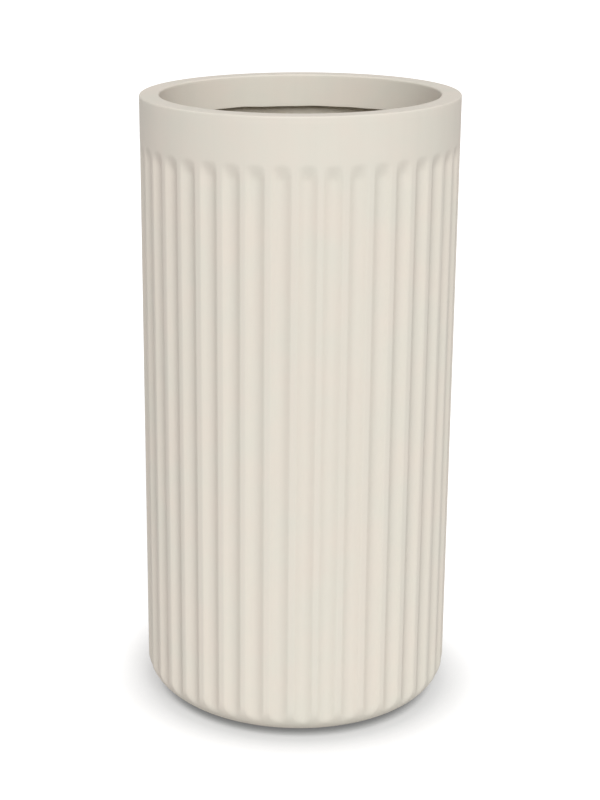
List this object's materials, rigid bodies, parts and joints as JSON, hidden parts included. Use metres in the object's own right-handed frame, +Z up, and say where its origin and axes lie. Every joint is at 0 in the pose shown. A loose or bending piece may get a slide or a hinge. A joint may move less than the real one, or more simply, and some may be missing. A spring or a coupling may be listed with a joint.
{
  "type": "fluted floor planter",
  "caption": "Tall round fibreglass floor planter with vertical flutes, a plain collar band, a flat lip with an inner return collar, and a drain hole with a lift-out plug.",
  "frame": {"origin": "centre of the standing face, on the ground", "axes": "+Z up along the body's axis; -Y is the front that the picture shows; the body is round, so X and Y only place the flutes"},
  "size_m": [0.4, 0.4, 0.794],
  "materials": {
    "gelcoat": "matt ivory gelcoat, faintly mottled",
    "raw_laminate": "raw chopped-strand glass laminate, pale warm grey",
    "resin_tape": "resin-wetted glass tape, satin",
    "bonding_paste": "cured bonding paste, matt",
    "plug_rubber": "matt black rubber"
  },
  "bodies": {
    "planter": {"outer_shell": "gelcoat", "rim_collar": "gelcoat", "inner_laminate": "raw_laminate", "floor_panel": "raw_laminate", "floor_tabbing": "resin_tape", "rim_bond": "bonding_paste"},
    "plug": {"drain_plug": "plug_rubber"}
  },
  "joints": [
    {"name": "plug_lift", "type": "slide", "parent": "planter", "child": "plug", "axis": [0, 0, 1], "range_m": [0, 0.8]}
  ]
}
